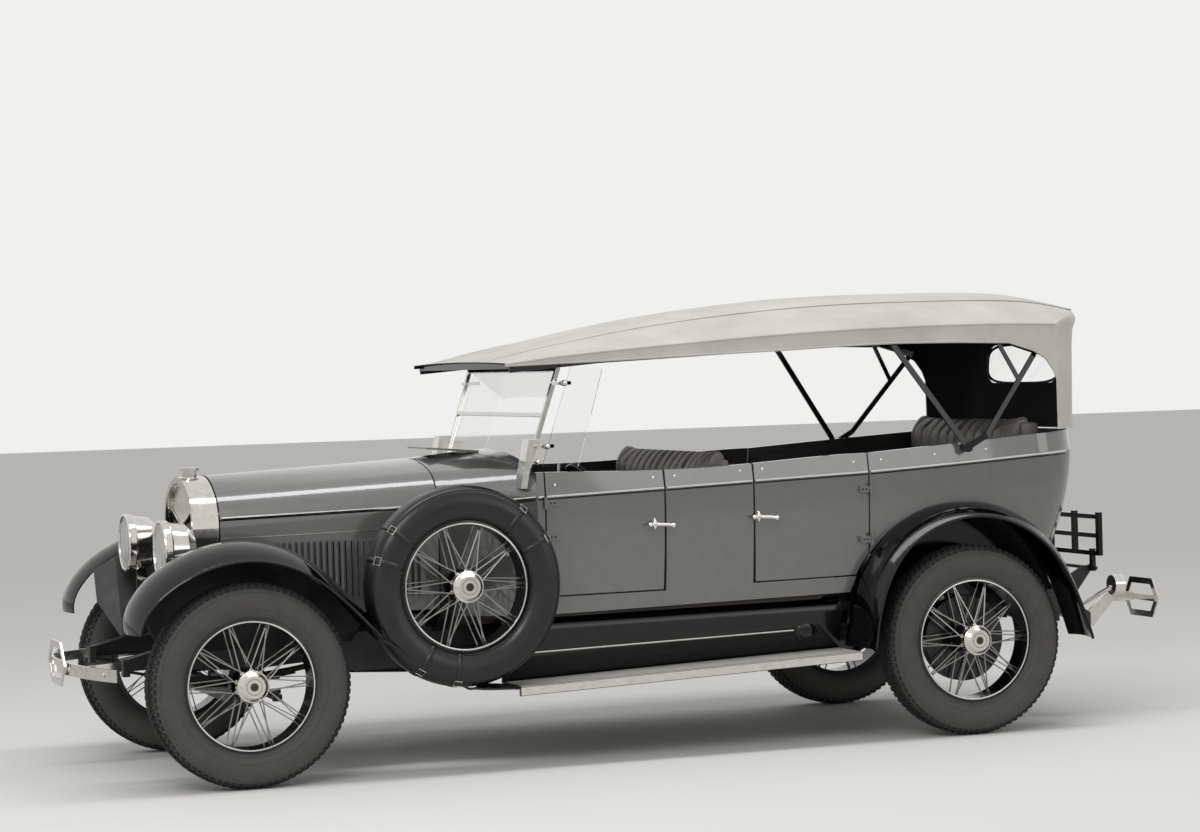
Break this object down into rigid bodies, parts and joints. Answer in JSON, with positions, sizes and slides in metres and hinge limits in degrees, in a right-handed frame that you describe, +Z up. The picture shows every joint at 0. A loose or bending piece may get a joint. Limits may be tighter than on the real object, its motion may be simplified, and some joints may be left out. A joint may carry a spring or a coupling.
{
  "type": "1920s touring car",
  "caption": "Open touring car of the late 1920s with its cloth top up, wire wheels, side-mounted spare wheels, running boards and opening doors and hood.",
  "frame": {"origin": "on the ground at the middle of the car's length and width", "axes": "the front faces -X, +Y is the car's right side, +Z is up"},
  "size_m": [5.25, 1.828, 2.084],
  "materials": {
    "body_paint": "gloss",
    "black_enamel": "gloss",
    "nickel": "polished",
    "tyre_rubber": "matte",
    "leather": "satin",
    "top_cloth": "matte",
    "clear_glass": "clear",
    "engine_iron": "matte",
    "bare_steel": "satin",
    "floor_wood": "matte",
    "wheel_rim_wood": "gloss"
  },
  "bodies": {
    "root": {"body_sides": "body_paint", "bumpers": "nickel", "chassis_frame": "black_enamel", "cowl": "body_paint", "engine_block": "engine_iron", "exhaust": "bare_steel", "fenders_front": "black_enamel", "fenders_rear": "black_enamel", "floor": "floor_wood", "front_axle": "black_enamel", "fuel_tank": "black_enamel", "headlamp_lenses": "clear_glass", "headlamps": "nickel", "leaf_springs": "bare_steel", "radiator_core": "black_enamel", "radiator_shell": "nickel", "rear_axle": "black_enamel", "running_boards": "black_enamel", "seats": "leather", "spare_tyres": "tyre_rubber", "spare_wheels": "black_enamel", "steering_column": "black_enamel", "tail_lamp": "nickel", "tonneau": "body_paint", "top_cover": "top_cloth", "top_frame": "black_enamel", "windshield_frame": "nickel", "windshield_glass": "clear_glass"},
    "front_left_wheel": {"tyre_front_left": "tyre_rubber", "wheel_front_left": "black_enamel"},
    "front_right_wheel": {"tyre_front_right": "tyre_rubber", "wheel_front_right": "black_enamel"},
    "rear_left_wheel": {"tyre_rear_left": "tyre_rubber", "wheel_rear_left": "black_enamel"},
    "rear_right_wheel": {"tyre_rear_right": "tyre_rubber", "wheel_rear_right": "black_enamel"},
    "knuckle_left": {"knuckle_left": "black_enamel"},
    "knuckle_right": {"knuckle_right": "black_enamel"},
    "tie_rod": {"tie_rod": "black_enamel"},
    "steering_wheel": {"steering_wheel": "wheel_rim_wood"},
    "door_front_left": {"door_front_left": "body_paint"},
    "door_front_right": {"door_front_right": "body_paint"},
    "door_rear_left": {"door_rear_left": "body_paint"},
    "door_rear_right": {"door_rear_right": "body_paint"},
    "hood_top_left": {"hood_top_left": "body_paint"},
    "hood_top_right": {"hood_top_right": "body_paint"},
    "hood_side_left": {"hood_side_left": "body_paint"},
    "hood_side_right": {"hood_side_right": "body_paint"},
    "luggage_rack": {"luggage_rack": "black_enamel"}
  },
  "joints": [
    {"name": "steer_left", "type": "hinge", "parent": "root", "child": "knuckle_left", "pos_m": [-1.935, -0.625, 0.444], "axis": [0, 0, 1], "range_deg": [-30, 30]},
    {"name": "steer_right", "type": "hinge", "parent": "root", "child": "knuckle_right", "pos_m": [-1.935, 0.625, 0.444], "axis": [0, 0, 1], "range_deg": [-31, 31]},
    {"name": "tie_rod_pivot", "type": "hinge", "parent": "knuckle_left", "child": "tie_rod", "pos_m": [-1.775, -0.625, 0.366], "axis": [0, 0, 1], "range_deg": [-31, 31]},
    {"name": "steering_turn", "type": "hinge", "parent": "root", "child": "steering_wheel", "pos_m": [-0.195, -0.387, 1.14], "axis": [0.876, 0, 0.4823], "range_deg": [-455, 455]},
    {"name": "front_left_spin", "type": "hinge", "parent": "knuckle_left", "child": "front_left_wheel", "pos_m": [-1.935, -0.762, 0.444], "axis": [0, 1, 0], "continuous": true},
    {"name": "rear_left_spin", "type": "hinge", "parent": "root", "child": "rear_left_wheel", "pos_m": [1.519, -0.762, 0.444], "axis": [0, 1, 0], "continuous": true},
    {"name": "front_right_spin", "type": "hinge", "parent": "knuckle_right", "child": "front_right_wheel", "pos_m": [-1.935, 0.762, 0.444], "axis": [0, 1, 0], "continuous": true},
    {"name": "rear_right_spin", "type": "hinge", "parent": "root", "child": "rear_right_wheel", "pos_m": [1.519, 0.762, 0.444], "axis": [0, 1, 0], "continuous": true},
    {"name": "door_front_left_hinge", "type": "hinge", "parent": "root", "child": "door_front_left", "pos_m": [-0.545, -0.728, 1], "axis": [0, 0, -1], "range_deg": [0, 60]},
    {"name": "door_rear_left_hinge", "type": "hinge", "parent": "root", "child": "door_rear_left", "pos_m": [1.04, -0.757, 1], "axis": [0, 0, 1], "range_deg": [0, 60]},
    {"name": "door_front_right_hinge", "type": "hinge", "parent": "root", "child": "door_front_right", "pos_m": [-0.545, 0.728, 1], "axis": [0, 0, 1], "range_deg": [0, 60]},
    {"name": "door_rear_right_hinge", "type": "hinge", "parent": "root", "child": "door_rear_right", "pos_m": [1.04, 0.757, 1], "axis": [0, 0, -1], "range_deg": [0, 60]},
    {"name": "hood_top_left_hinge", "type": "hinge", "parent": "root", "child": "hood_top_left", "pos_m": [-1.929, 0, 1.329], "axis": [-0.999, 0, -0.0437], "range_deg": [0, 50]},
    {"name": "hood_side_left_hinge", "type": "hinge", "parent": "hood_top_left", "child": "hood_side_left", "pos_m": [-1.929, -0.295, 1.133], "axis": [0.9867, -0.1602, 0.0277], "range_deg": [0, 40]},
    {"name": "hood_top_right_hinge", "type": "hinge", "parent": "root", "child": "hood_top_right", "pos_m": [-1.929, 0, 1.329], "axis": [0.999, 0, 0.0437], "range_deg": [0, 50]},
    {"name": "hood_side_right_hinge", "type": "hinge", "parent": "hood_top_right", "child": "hood_side_right", "pos_m": [-1.929, 0.295, 1.133], "axis": [-0.9867, -0.1602, -0.0277], "range_deg": [0, 40]},
    {"name": "luggage_rack_hinge", "type": "hinge", "parent": "root", "child": "luggage_rack", "pos_m": [2.377, 0, 0.716], "axis": [0, 1, 0], "range_deg": [0, 90]}
  ],
  "couplings": [
    {"joint": "steer_right", "follows": "steer_left", "ratio": 1},
    {"joint": "tie_rod_pivot", "follows": "steer_left", "ratio": -1},
    {"joint": "steering_turn", "follows": "steer_left", "ratio": 15},
    {"joint": "hood_side_left_hinge", "follows": "hood_top_left_hinge", "ratio": 0.7},
    {"joint": "hood_side_right_hinge", "follows": "hood_top_right_hinge", "ratio": 0.7}
  ]
}
